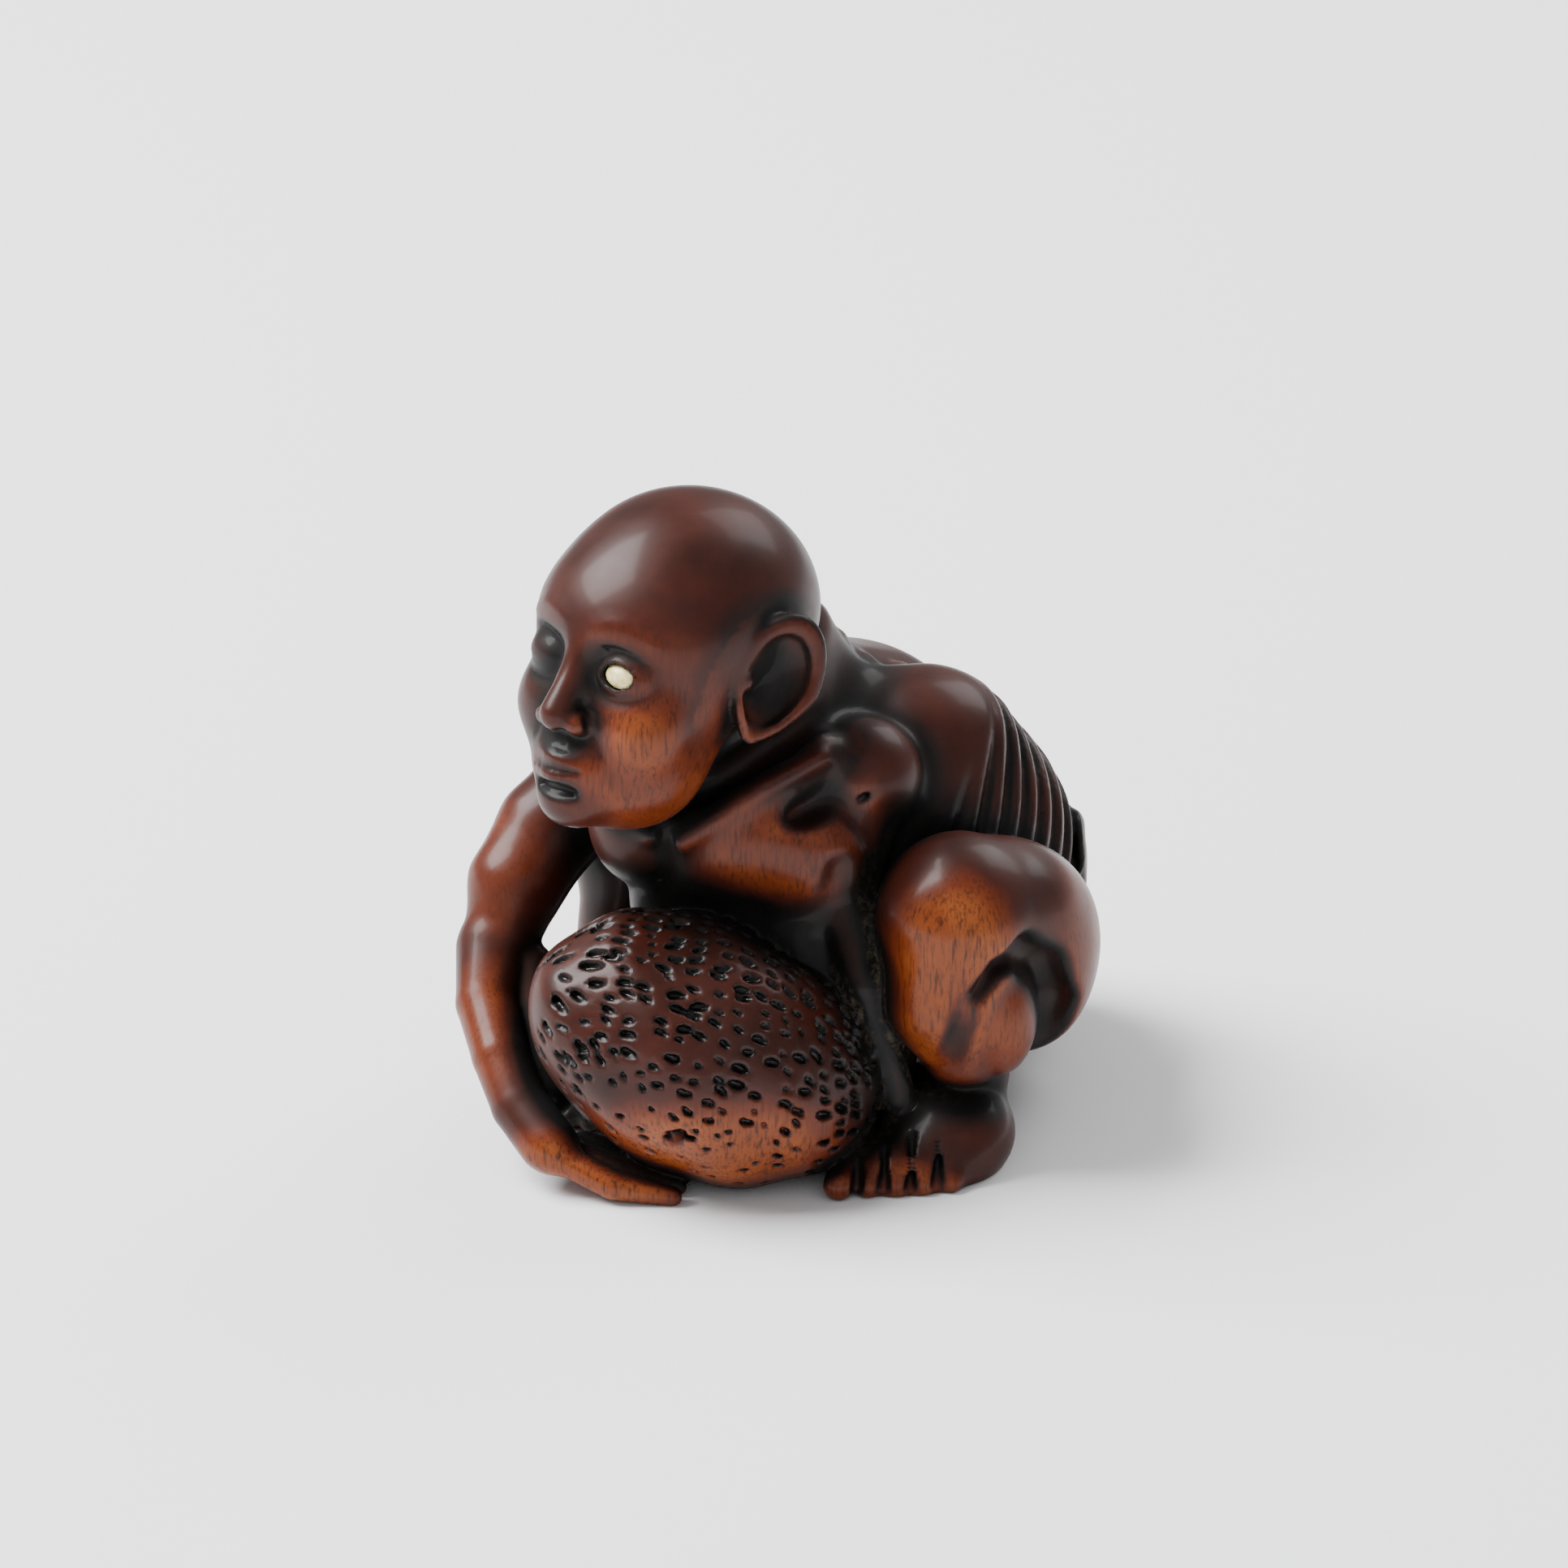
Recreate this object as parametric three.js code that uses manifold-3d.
// Netsuke: a bald figure squats and hugs a boulder, cut from one block of stained boxwood, with one
// pale eye let into the wood. Millimetres, +Z up, -Y to the front, +X to the figure's left. The
// underside is the flat plane z = 0 and the origin is at the middle of its box.
//
// The figure is carved the way a carver thinks of it: rounded masses (balls, ellipsoids, limbs)
// that run into one another, with hollows cut out of them. Each form gives the distance from a
// point to its skin, the whole is turned into one closed skin of triangles, and the skin is
// thinned where it is flat.

import * as THREE from 'three';
import { triTable } from 'three/addons/objects/MarchingCubes.js';
import { mergeVertices } from 'three/addons/utils/BufferGeometryUtils.js';
import Module from 'manifold-3d';

// ---- driving dimensions --------------------------------------------------------------------

const BLOCK = { low: [-18, -18, -1.6], high: [18, 20, 35.6] }; // room that the carving lies in
const MIDDLE = [0.14, 0.74]; // middle of the carving's box, in the carver's working frame
const FOOT_DEPTH = 0.8; // how far the masses run below the underside before it is sawn flat
const GRID = 0.34; // spacing of the grid that the skin is taken from
const SKIN_TRIANGLES = 8900; // what the skin is thinned to

const HEAD = { at: [-4.75, -3.4, 27.5], yaw: 43, lift: 13 };
const EAR = { at: [5.85, 0.85, -1.95], wide: 2.1, tall: 3.2, shell: 0.42, rim: 0.42 };
const EYE = { at: [2.4, -5.75, -2.35], wide: 1.0, tall: 0.68, deep: 0.8, gap: 0.3 };

const TRUNK = { at: [7.2, 4.6, 13.4], radii: [7.3, 6.8, 9.1], spine: [-0.6, -0.36, 0.72] };
const RIBS = { pitch: 1.3, depth: 0.4, low: -6, high: 4.6, across: [-0.8, -0.45, 0.38] };
const WAIST = { at: -6.6, half: 0.55, proud: 0.42 };
const STRIP = { half: 1.3 };

const LEFT_SHOULDER = [4.2, -2.2, 18.5];
const LEFT_ELBOW = [3.4, -4.6, 12.4];
const LEFT_WRIST = [4.4, -6.9, 9.4];
const LEFT_HAND = [6.0, -7.6, 3.6];
const RIGHT_SHOULDER = [-5.5, 5.0, 18.6];
const RIGHT_UPPER = [RIGHT_SHOULDER, [-11.2, 1.7, 14.0], [-12.8, 0, 11.8], [-13.5, -1.2, 9.6]];
const RIGHT_UPPER_RADII = [3.0, 2.6, 2.4, 1.9];
const RIGHT_LOWER = [
  [-13.9, -1.8, 9.0], [-14.2, -4.0, 7.1], [-13.5, -6.6, 5.4], [-12.5, -8.6, 3.6], [-11.1, -10.2, 2.3],
];
const RIGHT_LOWER_RADII = [1.9, 1.55, 1.4, 1.4, 1.45];

const LEFT_KNEE = [9.0, -6.6, 13.2];
const LEFT_THIGH = [11.3, -3.3, 10.6];
const LEFT_HIP = [11.1, 3.4, 6.4];
const LEFT_HOLLOW = [
  [9.8, -10.2, 10.4], [10.6, -9.6, 11.6], [11.9, -9.0, 12.0], [13.1, -8.0, 10.5], [13.5, -7.2, 8.3],
  [13.0, -7.0, 6.2],
];
const LEFT_HOLLOW_RADII = [0.15, 0.45, 0.75, 1.0, 1.1, 1.2];
const RIGHT_KNEE = [-6.9, 6.2, 10.9];
const RIGHT_HIP = [4.6, 11.6, 6.4];
const TOE_WIDTHS = [1.0, 0.74, 0.72, 0.7, 0.68]; // big toe first, as parts of the big toe

const BOULDER = { at: [-3.4, -8.0, 6.4], radii: [9.3, 6.8, 6.15], slope: 27 };

const WOOD = { color: 0x5a2a17, roughness: 0.38, metalness: 0 };
const BONE = { color: 0xe8dcb0, roughness: 0.3, metalness: 0 };

// ---- forms ---------------------------------------------------------------------------------

const minus = (a, b) => [a[0] - b[0], a[1] - b[1], a[2] - b[2]];
const dot = (a, b) => a[0] * b[0] + a[1] * b[1] + a[2] * b[2];
const cross = (a, b) => [
  a[1] * b[2] - a[2] * b[1], a[2] * b[0] - a[0] * b[2], a[0] * b[1] - a[1] * b[0],
];

const softMin = (a, b, k) => {
  const h = Math.max(k - Math.abs(a - b), 0);
  return Math.min(a, b) - (h * h) / (4 * k);
};
const softMax = (a, b, k) => -softMin(-a, -b, k);
const ramp = (value, from, to) => THREE.MathUtils.smoothstep(value, from, to);

/** A form holds the distance from a point to its skin: below zero is wood, above zero is air. */
class Form {
  constructor(distance) {
    this.distance = distance;
  }

  /** Runs this form into others, over a fillet about k wide. */
  add(k, ...others) {
    return others.reduce((whole, other) => new Form((x, y, z) => (
      softMin(whole.distance(x, y, z), other.distance(x, y, z), k))), this);
  }

  /** Hollows this form out with others, with edges rounded by about k. */
  cut(k, ...others) {
    return others.reduce((whole, other) => new Form((x, y, z) => (
      softMax(whole.distance(x, y, z), -other.distance(x, y, z), k))), this);
  }

  /** Adds a low relief: the skin moves in by what relief gives at each point. */
  relief(relief) {
    return new Form((x, y, z) => this.distance(x, y, z) + relief(x, y, z));
  }

  /** Sets a form, made in a frame of its own, at a place, with its axes along three directions. */
  placed(at, axes) {
    return new Form((x, y, z) => this.distance(...toFrame(x, y, z, at, axes)));
  }
}

const UPRIGHT = [[1, 0, 0], [0, 1, 0], [0, 0, 1]];

function toFrame(x, y, z, at, axes) {
  const dx = x - at[0];
  const dy = y - at[1];
  const dz = z - at[2];
  return axes.map((axis) => dx * axis[0] + dy * axis[1] + dz * axis[2]);
}

/** Three square axes: z along up, x as near to side as that leaves. */
function axesFrom(side, up) {
  const z = new THREE.Vector3(...up).normalize();
  const x = new THREE.Vector3(...side);
  x.addScaledVector(z, -x.dot(z)).normalize();
  const y = new THREE.Vector3().crossVectors(z, x);
  return [x.toArray(), y.toArray(), z.toArray()];
}

const ball = ([cx, cy, cz], radius) => new Form((x, y, z) => (
  Math.sqrt((x - cx) ** 2 + (y - cy) ** 2 + (z - cz) ** 2) - radius));

function ellipsoid(at, [a, b, c], axes = UPRIGHT) {
  const [ax, ay, az] = axes;
  return new Form((x, y, z) => {
    const dx = x - at[0];
    const dy = y - at[1];
    const dz = z - at[2];
    const u = (dx * ax[0] + dy * ax[1] + dz * ax[2]) / a;
    const v = (dx * ay[0] + dy * ay[1] + dz * ay[2]) / b;
    const w = (dx * az[0] + dy * az[1] + dz * az[2]) / c;
    const reach = Math.sqrt(u * u + v * v + w * w);
    const slope = Math.sqrt((u / a) ** 2 + (v / b) ** 2 + (w / c) ** 2);
    return (reach * (reach - 1)) / Math.max(slope, 1e-6);
  });
}

/** A rounded bar that tapers from one radius to another. */
function limb(from, to, fromRadius, toRadius) {
  const [bx, by, bz] = to.map((value, i) => value - from[i]);
  const square = bx * bx + by * by + bz * bz;
  return new Form((x, y, z) => {
    const px = x - from[0];
    const py = y - from[1];
    const pz = z - from[2];
    const along = THREE.MathUtils.clamp((px * bx + py * by + pz * bz) / square, 0, 1);
    const gap = Math.sqrt((px - along * bx) ** 2 + (py - along * by) ** 2 + (pz - along * bz) ** 2);
    return gap - (fromRadius + (toRadius - fromRadius) * along);
  });
}

/** Limbs end to end through points, with a radius at each point. */
function chain(points, radii, k = 0.01) {
  const links = points.slice(1).map((point, i) => limb(points[i], point, radii[i], radii[i + 1]));
  return links[0].add(k, ...links.slice(1));
}

const shift = (point, dx, dy, dz) => [point[0] + dx, point[1] + dy, point[2] + dz];

// ---- the head ------------------------------------------------------------------------------

function headAxes() {
  const yaw = THREE.MathUtils.degToRad(HEAD.yaw);
  const lift = THREE.MathUtils.degToRad(HEAD.lift);
  const back = [Math.sin(yaw) * Math.cos(lift), Math.cos(yaw) * Math.cos(lift), -Math.sin(lift)];
  const up = [Math.sin(yaw) * Math.sin(lift), Math.cos(yaw) * Math.sin(lift), Math.cos(lift)];
  return axesFrom(new THREE.Vector3(...back).cross(new THREE.Vector3(...up)).toArray(), up);
}

/** An ear: a dished plate with a rolled rim, wide above and narrow at the lobe. */
function ear(side) {
  const outward = new THREE.Vector3(side * 0.86, -0.5, 0).normalize();
  const up = new THREE.Vector3(side * 0.1, 0.28, 1).normalize();
  up.addScaledVector(outward, -up.dot(outward)).normalize();
  const back = new THREE.Vector3().crossVectors(up, outward).multiplyScalar(side);
  const axes = [back.toArray(), up.toArray(), outward.toArray()];
  const at = [side * EAR.at[0], EAR.at[1], EAR.at[2]];
  const outline = (x, y) => {
    const narrowing = Math.max(1 + 0.16 * Math.min(y, 0), 0.3);
    return Math.hypot(x / narrowing / EAR.wide, y / EAR.tall);
  };
  const plate = new Form((x, y, z) => {
    const reach = outline(x, y);
    return Math.max((reach - 1) * EAR.wide, Math.abs(z - 0.35 * reach * reach) - EAR.shell);
  });
  const rim = new Form((x, y, z) => (
    Math.hypot((outline(x, y) - 0.93) * 2.3, z - 0.62) - EAR.rim + 0.35 * Math.max(-2 - y, 0)));
  return plate
    .add(0.35, rim)
    .add(0.5, ellipsoid([-1.1, -0.2, -0.8], [1.5, 2.6, 1.2]))
    .cut(0.3, ellipsoid([-0.05, 0.1, 0.7], [1.42, 2.25, 0.8]))
    .add(0.3, ball([-1.35, -0.5, 0.55], 0.45))
    .cut(0.25, ellipsoid([-0.75, -0.2, 0.1], [0.6, 0.85, 0.7]))
    .placed(at, axes);
}

function head() {
  let form = ellipsoid([0, 0.85, 0.35], [6.0, 6.8, 5.75])
    .add(2.2, ellipsoid([0, -2.4, -0.6], [5.2, 4.4, 3.2]))
    .add(2.2, ellipsoid([0, -2.2, -4.6], [4.9, 4.2, 5.2]))
    .add(2.2, ellipsoid([0, -3.0, -7.9], [3.5, 3.5, 2.4]));
  for (const side of [-1, 1]) {
    form = form
      .add(1.4, ellipsoid([side * 2.9, -4.4, -4.9], [1.9, 1.8, 1.9]))
      .cut(0.9, ellipsoid([side * 2.35, -7.3, -2.3], [1.75, 1.5, 1.15]))
      .add(0.35, ellipsoid(
        [side * EYE.at[0], EYE.at[1] + 0.12, EYE.at[2]],
        [1.5, 1.02, 1.18],
        axesFrom([1, 0.26 * side, 0], [0, 0, 1]),
      ));
  }
  form = form.add(0.9, limb([0, -6.2, -1.6], [0, -7.5, -4.7], 0.55, 0.85));
  for (const side of [-1, 1]) {
    form = form.add(0.4, ellipsoid([side * 0.95, -6.9, -5], [0.65, 0.8, 0.6]));
  }
  form = form
    .add(0.9, ellipsoid([0, -5.2, -7.3], [2.3, 1.9, 1.7]))
    .add(1.0, ellipsoid([0, -5.6, -9.2], [1.6, 1.3, 1.2]))
    .cut(0.25, limb([-1.6, -7.0, -7.38], [1.6, -7.0, -7.38], 0.25, 0.25));
  return form.add(0.35, ear(-1)).add(0.35, ear(1)).placed(HEAD.at, headAxes());
}

// ---- the body ------------------------------------------------------------------------------

const TRUNK_AXES = axesFrom([0.74, -0.67, 0], TRUNK.spine);
const RIB_SLANT = toFrame(...new THREE.Vector3(...RIBS.across).normalize(), [0, 0, 0], TRUNK_AXES);
const pelvis = ellipsoid([9.4, 8.6, 6.2], [6.0, 6.2, 6.8]);
const trunk = ellipsoid(TRUNK.at, TRUNK.radii, TRUNK_AXES);

/** Ribs and spine: hoops on the flanks and a knobbed furrow down the back. */
function boneRelief(x, y, z) {
  const [side, back, along] = toFrame(x, y, z, TRUNK.at, TRUNK_AXES);
  const flank = Math.abs(side);
  const within = ramp(flank, 2.6, 4.4) * ramp(back, -6.5, -3.5)
    * ramp(along, RIBS.low, RIBS.low + 0.6) * (1 - ramp(along, RIBS.high - 2.2, RIBS.high));
  const turn = (2 * Math.PI) / RIBS.pitch;
  const reach = flank * RIB_SLANT[0] + back * RIB_SLANT[1] + along * RIB_SLANT[2];
  const ribs = RIBS.depth * within
    * (0.5 + 0.5 * Math.cos(turn * reach + 0.25 * Math.sin(0.9 * along))) ** 1.6;
  const knobs = 0.22 * (0.5 + 0.5 * Math.cos(turn * 0.65 * along)) * Math.exp(-((side / 0.6) ** 2));
  const furrow = Math.exp(-((side / 1.1) ** 2)) * ramp(back, 1, 4) * (0.35 - knobs);
  return ribs + furrow;
}

/** The waistband and the strip between the legs stand proud of the hips; an end hangs at the left. */
function loincloth() {
  const hips = trunk.add(2.2, pelvis);
  const cloth = new Form((x, y, z) => {
    const [side, back, along] = toFrame(x, y, z, TRUNK.at, TRUNK_AXES);
    const band = Math.abs(along - WAIST.at) - WAIST.half;
    const strip = Math.max(Math.abs(side) - STRIP.half, along - WAIST.at, -back);
    return softMax(hips.distance(x, y, z) - WAIST.proud, Math.min(band, strip), 0.25);
  });
  const knot = ellipsoid([14.6, 5.8, 12.6], [0.9, 1.5, 0.75]);
  const end = ellipsoid([15.1, 5.6, 10.4], [0.5, 1.9, 3.0], axesFrom([1, 0.1, 0], [0, -0.1, 1]));
  return cloth.add(0.3, knot).add(0.2, end);
}

function torso() {
  const facing = axesFrom([0.8, -0.5, 0.1], [0, 0, 1]);
  const breast = axesFrom([0.8, -0.4, 0.45], [0.1, -0.25, 1]);
  const collar = axesFrom([6.6, 1.5, 3.0], [-0.3, -0.2, 1]);
  const collarBone = [[-4.5, -5.7, 16.8], [-0.6, -5.1, 18.9], [2.2, -4.0, 20.2]];
  const collarEdge = [[-4.6, -6.3, 16.6], [-0.5, -5.9, 19.3], [2.2, -5.0, 20.5]];
  const neckHollow = [[-3.5, -5.1, 18.8], [0.2, -4.2, 21.0], [3.0, -2.2, 22.6]];
  return trunk
    .add(2.2, pelvis, ellipsoid([2.0, -1.4, 9.4], [5.6, 5.4, 6.0]))
    .add(1.0, ellipsoid([4.6, -5.0, 7.0], [2.6, 2.6, 6.0]))
    .add(1.2, ellipsoid([-1.2, -2.2, 15.6], [5.6, 3.6, 4.0], facing))
    .add(1.6, ellipsoid([-6.2, -2.4, 16.3], [3.0, 3.5, 3.4]))
    .add(1.2, ellipsoid([-3.2, -1.6, 12.0], [4.0, 3.6, 4.6]))
    .add(0.9, ellipsoid([-0.6, -3.7, 16.3], [4.9, 2.7, 3.3], collar))
    .add(0.7, ellipsoid([0.9, -4.3, 15.2], [3.8, 2.3, 3.4], breast))
    .add(2.4, ellipsoid([7.6, 2.6, 18.9], [3.6, 3.4, 2.8]), ellipsoid([3.2, 8.4, 18.6], [4.4, 3.2, 2.8]))
    .add(2.2, limb([-0.3, 1.0, 18.2], [-2.6, -1.0, 23.4], 4.8, 4.1))
    .add(2.4, limb([2.2, 4.6, 19.4], [0.4, 1.8, 24.4], 3.2, 2.6))
    .add(0.9, ball([4.4, -2.5, 18.7], 2.75))
    .add(2.0, ball(RIGHT_SHOULDER, 2.8))
    .add(0.9, chain(collarBone, [0.8, 0.95, 1.1]))
    .cut(0.4, chain(neckHollow, [0.8, 1.0, 0.7]))
    .add(0.5, chain(collarEdge, [0.4, 0.4, 0.4]), limb([-6.0, -5.8, 16.8], [-7.8, -3.8, 17.6], 0.5, 0.6))
    .cut(0.5, limb([-5.3, -6.3, 17.2], [-4.9, -5.9, 12.8], 0.35, 0.45))
    .cut(0.7, ellipsoid([1.8, -5.85, 18.1], [1.3, 0.8, 0.5], collar))
    .cut(0.9, limb([3.2, -7.0, 15.2], [2.6, -7.2, 11.5], 0.5, 1.0))
    .relief(boneRelief)
    .add(0.12, loincloth());
}

function leftArm() {
  return limb(LEFT_SHOULDER, LEFT_ELBOW, 2.5, 1.3)
    .add(0.8, chain([LEFT_ELBOW, LEFT_WRIST, LEFT_HAND], [1.4, 1.15, 0.9], 0.5));
}

/** The right arm reaches round the boulder, its four fingers spread along the foot of it. */
function rightArm() {
  const fingers = [0, 1, 2, 3].map((i) => chain([
    [-10.6 + 0.4 * i, -10.9 + 1.1 * i, 1.9 - 0.3 * i],
    [-7.9 + 0.3 * i, -12.0 + 1.15 * i, 0.9 - 0.1 * i],
    [-5.0 + 0.2 * i, -12.3 + 1.2 * i, 0.4],
  ], [0.75, 0.75, 0.5]));
  const web = limb([-12.2, -2.2, 8.2], [-11.2, -6.2, 3.2], 1.3, 1.3);
  const lower = chain(RIGHT_LOWER, RIGHT_LOWER_RADII, 0.1)
    .add(0.8, fingers[0].add(0.15, ...fingers.slice(1)))
    .add(0.3, web);
  return chain(RIGHT_UPPER, RIGHT_UPPER_RADII, 0.3).add(0.45, lower);
}

/** Five toes side by side, with a step from each to the next at the root and at the tip. */
function toes(root, rootStep, tip, tipStep, big) {
  const row = TOE_WIDTHS.map((width, i) => limb(
    shift(root, rootStep[0] * i, rootStep[1] * i, 0),
    [tip[0] + tipStep[0] * i, tip[1] + tipStep[1] * i, width * tip[2]],
    width * big,
    width * big * 0.8,
  ));
  return row[0].add(0.35, ...row.slice(1));
}

/** The bent left leg: thigh and knee in one mass, a hollow, and the calf curled inside it. */
function leftLeg() {
  const bent = chain([LEFT_KNEE, LEFT_THIGH, LEFT_HIP], [3.8, 4.5, 5.0], 0.6)
    .add(1.5, ellipsoid([11.5, -5.1, 12.4], [3.0, 3.2, 3.2]))
    .add(1.5, limb([8.8, -7.0, 12.4], [8.5, -7.6, 9.0], 3.6, 3.0))
    .add(1.0, limb([8.5, -7.6, 9.0], [9.2, -7.4, 6.4], 3.0, 2.2))
    .add(1.5, ellipsoid([12.1, -4.6, 9.0], [3.3, 3.6, 4.0]))
    .cut(0.8, chain(LEFT_HOLLOW, LEFT_HOLLOW_RADII, 0.3))
    .add(0.3, ellipsoid([10.9, -7.5, 8.1], [1.95, 2.35, 3.2]))
    .cut(0.9, limb([9.4, -10.9, 9.8], [8.4, -10.2, 6.0], 0.25, 0.45));
  const slits = [0, 1, 2, 3].map((i) => limb(
    [4.1 + 1.3 * i, -10.1 + 0.25 * i, 2.15 + 0.2 * i],
    [4.0 + 1.3 * i, -12.1 + 0.2 * i, 0.5],
    0.15,
    0.32,
  ));
  const foot = ellipsoid([8.2, -6.0, 1.4], [3.5, 4.4, 2.9], axesFrom([0.93, 0.37, 0], [0, 0, 1]))
    .add(1.2, ellipsoid([6.4, -9.0, 0.6], [3.9, 2.6, 1.7], axesFrom([0.98, 0.2, 0], [0, 0, 1])))
    .add(0.4, toes([3.9, -8.6, 1.0], [1.4, 0.2], [3.1, -11.6, 0.7], [1.38, 0.2], 0.95))
    .cut(0.18, ...slits);
  return bent
    .add(0.5, limb([9.8, -6.0, 6.6], [9.3, -4.8, 2.6], 2.1, 2.1))
    .add(0.4, foot);
}

function rightLeg() {
  const thigh = limb(RIGHT_KNEE, RIGHT_HIP, 2.9, 4.8).add(1.2, ball(RIGHT_KNEE, 2.9));
  const shin = limb([-7.2, 5.6, 10.2], [-8.6, 3.4, 3.2], 2.5, 1.7)
    .add(0.8, ellipsoid([-5.8, 6.4, 6.4], [2.3, 2.4, 3.4], axesFrom([1, 0, 0], [0.15, 0.1, 1])));
  const foot = ellipsoid([-7.0, 5.0, 1.6], [2.4, 2.8, 2.2])
    .add(1.0, limb([-8.2, 3.0, 1.6], [-9.4, -2.6, 0.9], 2.0, 1.2))
    .add(0.8, limb([-8.6, 2.6, 1.3], [-11.0, -1.6, 0.8], 1.8, 1.0))
    .add(0.3, toes([-8.0, -1.6, 1.1], [-0.95, 0.2], [-8.2, -4.2, 0.75], [-1.0, 0.45], 0.9));
  return thigh.add(0.7, shin, foot);
}

/** The boulder: a leaning egg with the slight swells of a river stone. */
function boulder() {
  const lean = THREE.MathUtils.degToRad(BOULDER.slope);
  const axes = axesFrom([Math.cos(lean), 0.1, -Math.sin(lean)], [Math.sin(lean), 0, Math.cos(lean)]);
  return ellipsoid(BOULDER.at, BOULDER.radii, axes).relief((x, y, z) => {
    const [u, v, w] = toFrame(x, y, z, BOULDER.at, axes);
    return 0.16 * Math.sin(0.55 * u + 0.9) * Math.sin(0.7 * v + 0.4) + 0.1 * Math.sin(0.9 * u + 1.1 * w);
  });
}

/** The whole carving, run down past the underside by FOOT_DEPTH. */
function wholeForm() {
  return torso()
    .add(0.5, head(), leftArm())
    .add(0.4, rightLeg(), rightArm())
    .add(0.35, leftLeg())
    .add(0.2, boulder())
    .cut(0.01, new Form((x, y, z) => z + FOOT_DEPTH));
}

// ---- from form to skin -----------------------------------------------------------------------

const CORNERS = [
  [0, 0, 0], [1, 0, 0], [1, 1, 0], [0, 1, 0], [0, 0, 1], [1, 0, 1], [1, 1, 1], [0, 1, 1],
];
const EDGES = [
  [0, 1], [1, 2], [3, 2], [0, 3], [4, 5], [5, 6], [7, 6], [4, 7], [0, 4], [1, 5], [2, 6], [3, 7],
];

/** Marches cubes over the block, giving one vertex to each grid edge that the skin crosses. */
function skinOf(form) {
  const count = BLOCK.low.map((low, i) => Math.ceil((BLOCK.high[i] - low) / GRID) + 1);
  const index = (i, j, k) => i + count[0] * (j + count[1] * k);
  const place = (i, j, k) => [i, j, k].map((step, axis) => BLOCK.low[axis] + GRID * step);
  const field = new Float64Array(count[0] * count[1] * count[2]);
  for (let k = 0; k < count[2]; k++) {
    for (let j = 0; j < count[1]; j++) {
      for (let i = 0; i < count[0]; i++) {
        const value = form.distance(...place(i, j, k));
        field[index(i, j, k)] = Math.abs(value) < 0.004 ? 0.004 * (value < 0 ? -1 : 1) : value;
      }
    }
  }
  const points = [];
  const triangles = [];
  const known = new Map();
  const vertexOn = (edge, i, j, k) => {
    const [from, to] = EDGES[edge].map((corner) => CORNERS[corner]);
    const a = index(i + from[0], j + from[1], k + from[2]);
    const b = index(i + to[0], j + to[1], k + to[2]);
    const key = a * 8 + (b - a === 1 ? 0 : b - a === count[0] ? 1 : 2);
    if (!known.has(key)) {
      const share = field[a] / (field[a] - field[b]);
      const start = place(i + from[0], j + from[1], k + from[2]);
      known.set(key, points.length);
      points.push(start.map((value, axis) => value + GRID * share * (to[axis] - from[axis])));
    }
    return known.get(key);
  };
  for (let k = 0; k < count[2] - 1; k++) {
    for (let j = 0; j < count[1] - 1; j++) {
      for (let i = 0; i < count[0] - 1; i++) {
        let cube = 0;
        CORNERS.forEach(([di, dj, dk], bit) => {
          if (field[index(i + di, j + dj, k + dk)] < 0) cube |= 1 << bit;
        });
        for (let t = cube * 16; triTable[t] >= 0; t += 3) {
          triangles.push([2, 1, 0].map((corner) => vertexOn(triTable[t + corner], i, j, k)));
        }
      }
    }
  }
  return { points, triangles };
}

// ---- thinning the skin -----------------------------------------------------------------------

/** A heap that gives back the entry of least cost. */
class Heap {
  constructor() {
    this.items = [];
  }

  push(item) {
    const { items } = this;
    let at = items.push(item) - 1;
    while (at > 0) {
      const above = (at - 1) >> 1;
      if (items[above].cost <= items[at].cost) break;
      [items[above], items[at]] = [items[at], items[above]];
      at = above;
    }
  }

  pop() {
    const { items } = this;
    const top = items[0];
    const last = items.pop();
    if (items.length === 0) return top;
    items[0] = last;
    let at = 0;
    for (;;) {
      let least = at;
      for (const below of [2 * at + 1, 2 * at + 2]) {
        if (below < items.length && items[below].cost < items[least].cost) least = below;
      }
      if (least === at) return top;
      [items[least], items[at]] = [items[at], items[least]];
      at = least;
    }
  }
}

/** Area-weighted square distance to a plane, as the upper half of a symmetric 4 by 4 matrix. */
function planeQuadric(normal, offset, weight) {
  const plane = [...normal, offset];
  const terms = [];
  for (let i = 0; i < 4; i++) for (let j = i; j < 4; j++) terms.push(weight * plane[i] * plane[j]);
  return terms;
}

const quadricAt = (q, [x, y, z]) => (
  q[0] * x * x + q[4] * y * y + q[7] * z * z + q[9]
  + 2 * (q[1] * x * y + q[2] * x * z + q[5] * y * z + q[3] * x + q[6] * y + q[8] * z));

/** The point where a quadric is least, or null where it is nearly flat. */
function bestPoint(q) {
  const system = new THREE.Matrix3(q[0], q[1], q[2], q[1], q[4], q[5], q[2], q[5], q[7]);
  const size = q[0] + q[4] + q[7];
  if (Math.abs(system.determinant()) < 1e-4 * size ** 3) return null;
  return new THREE.Vector3(-q[3], -q[6], -q[8]).applyMatrix3(system.invert()).toArray();
}

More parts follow.
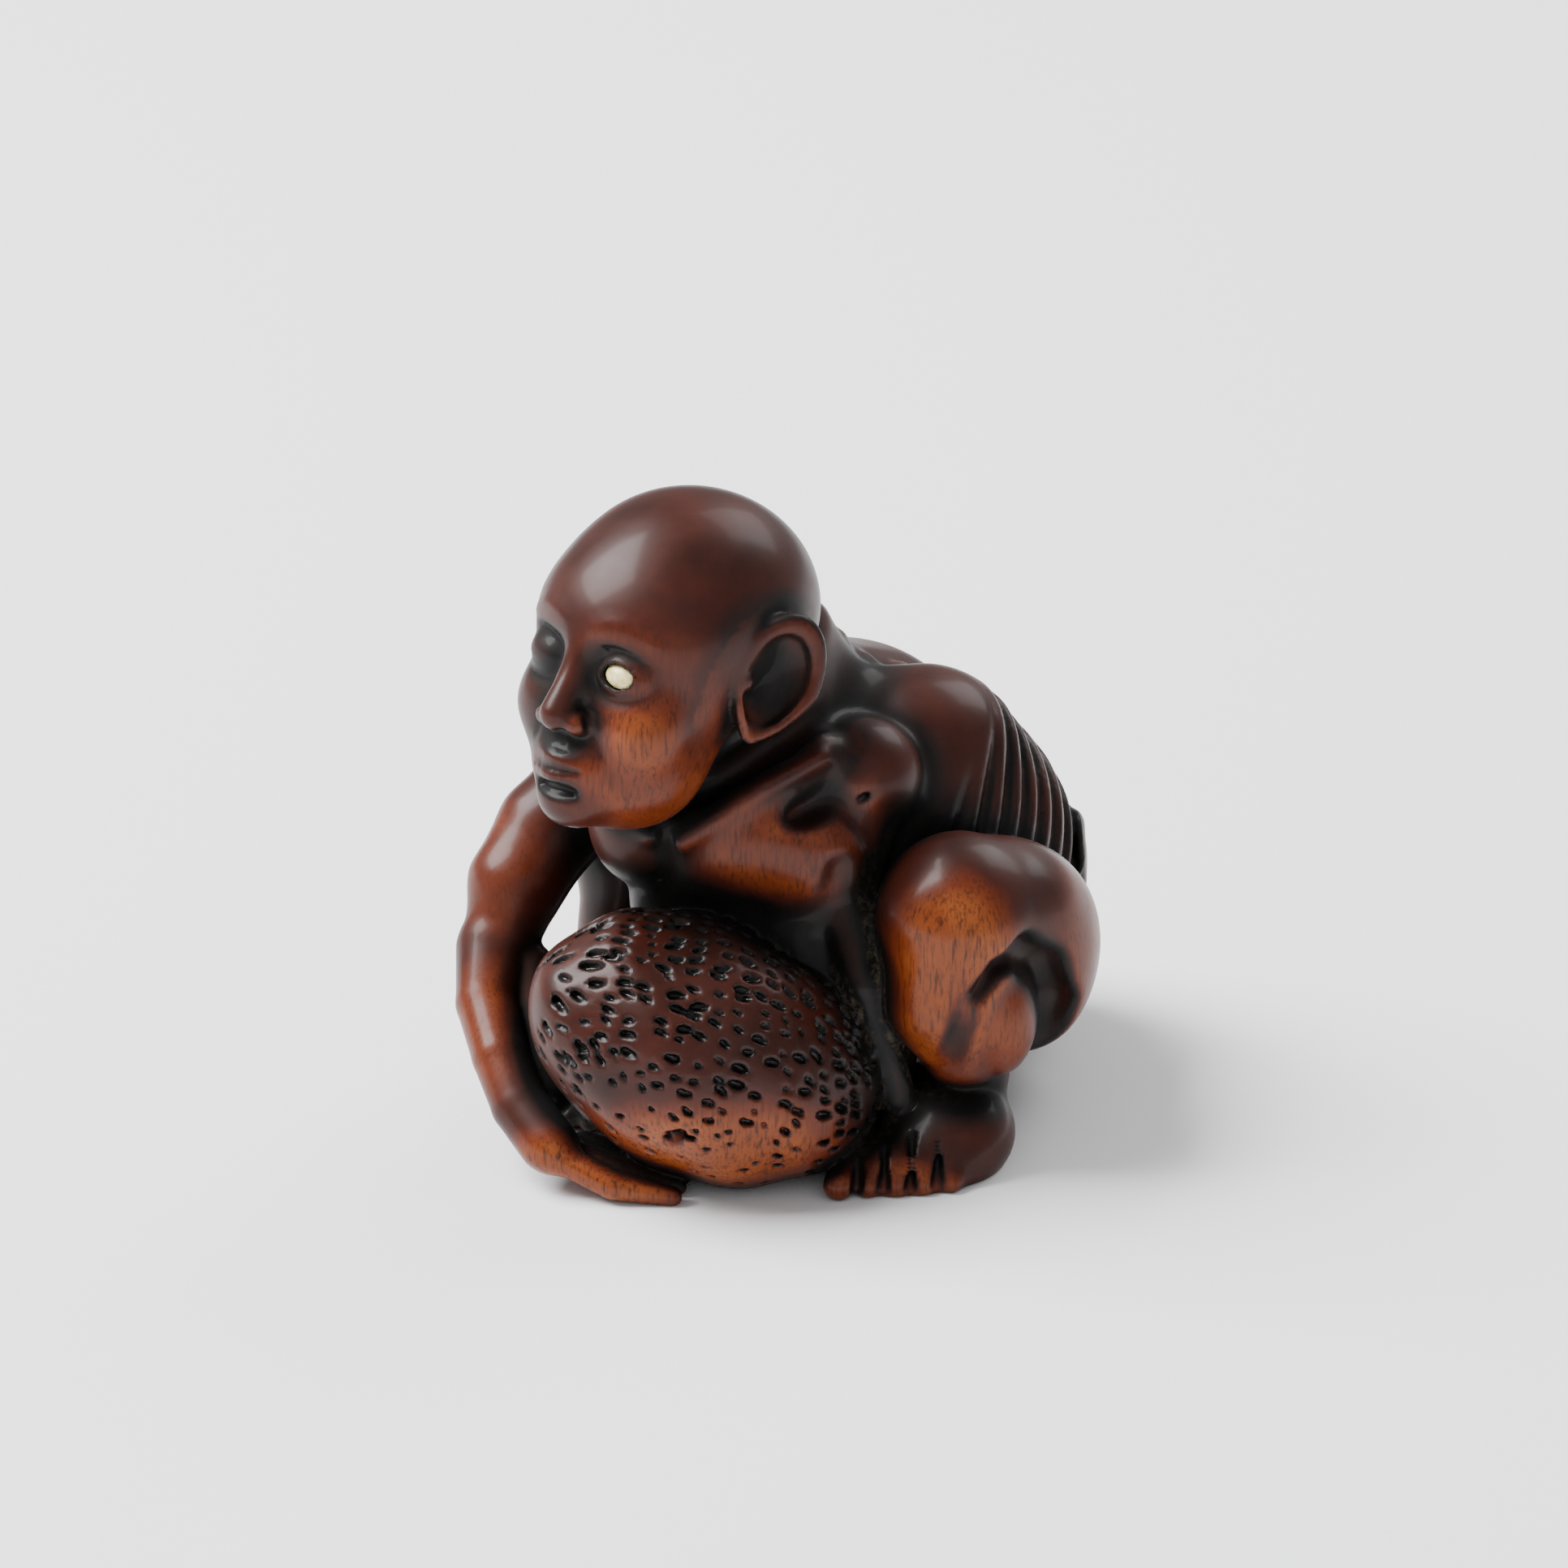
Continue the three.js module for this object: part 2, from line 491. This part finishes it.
/** Draws edges in, the least telling first, until the skin has the wanted number of triangles. */
function thinned({ points, triangles }, wanted) {
  const faces = points.map(() => new Set());
  const quadrics = points.map(() => new Array(10).fill(0));
  const turns = points.map(() => 0);
  triangles.forEach((triangle, id) => {
    const [a, b, c] = triangle.map((corner) => points[corner]);
    const normal = cross(minus(b, a), minus(c, a));
    const size = Math.max(Math.sqrt(dot(normal, normal)), 1e-12);
    const unit = normal.map((value) => value / size);
    const quadric = planeQuadric(unit, -dot(unit, a), size);
    triangle.forEach((corner) => {
      faces[corner].add(id);
      quadric.forEach((term, i) => { quadrics[corner][i] += term; });
    });
  });
  const around = (vertex) => {
    const ring = new Set([...faces[vertex]].flatMap((id) => triangles[id]));
    ring.delete(vertex);
    return ring;
  };
  const heap = new Heap();
  const offer = (a, b) => {
    const sum = quadrics[a].map((term, i) => term + quadrics[b][i]);
    const [p, q] = [points[a], points[b]];
    const middle = p.map((value, i) => (value + q[i]) / 2);
    const length = Math.hypot(...minus(p, q));
    const best = bestPoint(sum);
    const near = best && Math.hypot(...minus(best, middle)) < length;
    const point = near ? best : middle;
    const cost = Math.max(quadricAt(sum, point), 0) + 2e-4 * length ** 3;
    heap.push({ cost, a, b, point, sum, turn: turns[a] + turns[b] });
  };
  const flips = (moved, other, point) => [...faces[moved]].some((id) => {
    if (triangles[id].includes(other)) return false;
    const before = triangles[id].map((corner) => points[corner]);
    const after = triangles[id].map((corner) => (corner === moved ? point : points[corner]));
    const normals = [before, after].map(([a, b, c]) => cross(minus(b, a), minus(c, a)));
    const sizes = normals.map((normal) => Math.sqrt(dot(normal, normal)));
    return dot(normals[0], normals[1]) < 0.3 * sizes[0] * sizes[1] || sizes[1] < 1e-3;
  });
  for (let a = 0; a < points.length; a++) for (const b of around(a)) if (a < b) offer(a, b);
  let left = triangles.length;
  while (left > wanted && heap.items.length > 0) {
    const { a, b, point, sum, turn } = heap.pop();
    if (turn !== turns[a] + turns[b] || faces[a].size === 0 || faces[b].size === 0) continue;
    const ringA = around(a);
    const shared = [...around(b)].filter((vertex) => ringA.has(vertex));
    if (shared.length !== 2 || flips(a, b, point) || flips(b, a, point)) continue;
    for (const id of [...faces[b]]) {
      if (triangles[id].includes(a)) {
        triangles[id].forEach((corner) => faces[corner].delete(id));
        left -= 1;
      } else {
        triangles[id] = triangles[id].map((corner) => (corner === b ? a : corner));
        faces[a].add(id);
      }
    }
    faces[b].clear();
    points[a] = point;
    quadrics[a] = sum;
    turns[a] += turns[b] + 1;
    for (const vertex of around(a)) offer(a, vertex);
  }
  const kept = new Set(faces.flatMap((set) => [...set]));
  return { points, triangles: [...kept].map((id) => triangles[id]) };
}

// ---- solids ----------------------------------------------------------------------------------

const wasm = await Module();
wasm.setup();

function solidOf(geometry) {
  const bare = geometry.clone();
  bare.deleteAttribute('normal');
  bare.deleteAttribute('uv');
  const merged = mergeVertices(bare, 1e-5);
  return new wasm.Manifold(new wasm.Mesh({
    numProp: 3,
    vertProperties: new Float32Array(merged.attributes.position.array),
    triVerts: new Uint32Array(merged.index.array),
  }));
}

function geometryFrom(solid) {
  const mesh = solid.getMesh();
  const geometry = new THREE.BufferGeometry();
  geometry.setAttribute('position', new THREE.BufferAttribute(mesh.vertProperties, 3));
  geometry.setIndex(new THREE.BufferAttribute(mesh.triVerts, 1));
  return geometry;
}

function skinGeometry({ points, triangles }) {
  const geometry = new THREE.BufferGeometry();
  geometry.setAttribute('position', new THREE.Float32BufferAttribute(points.flat(), 3));
  geometry.setIndex(triangles.flat());
  return geometry;
}

/** An egg lying in the left eye, grown by the given margin. */
function eyeGeometry(margin) {
  const [side, back, up] = headAxes().map((axis) => new THREE.Vector3(...axis));
  const geometry = new THREE.SphereGeometry(1, 16, 10);
  geometry.scale(EYE.wide + margin, EYE.deep + margin, EYE.tall + margin);
  geometry.applyMatrix4(new THREE.Matrix4().makeBasis(side, back, up));
  const at = new THREE.Vector3(...HEAD.at)
    .addScaledVector(side, EYE.at[0]).addScaledVector(back, EYE.at[1]).addScaledVector(up, EYE.at[2]);
  return geometry.translate(at.x, at.y, at.z);
}

/** The carving: thinned skin, sawn flat underneath, with a pocket for the eye. */
function carvingGeometry() {
  const rough = solidOf(skinGeometry(thinned(skinOf(wholeForm()), SKIN_TRIANGLES)));
  const below = new THREE.BoxGeometry(60, 60, 10).translate(0, 0, -5);
  const solid = rough.subtract(solidOf(below)).subtract(solidOf(eyeGeometry(EYE.gap)));
  return geometryFrom(solid);
}

function piece(name, geometry, finish) {
  geometry.translate(-MIDDLE[0], -MIDDLE[1], 0);
  geometry.computeVertexNormals();
  const mesh = new THREE.Mesh(geometry, new THREE.MeshStandardMaterial(finish));
  mesh.name = name;
  return mesh;
}

const netsuke = new THREE.Group();
netsuke.name = 'netsuke';
netsuke.add(piece('carving', carvingGeometry(), WOOD));
netsuke.add(piece('eye_inlay', geometryFrom(solidOf(eyeGeometry(0))), BONE));

export default netsuke;
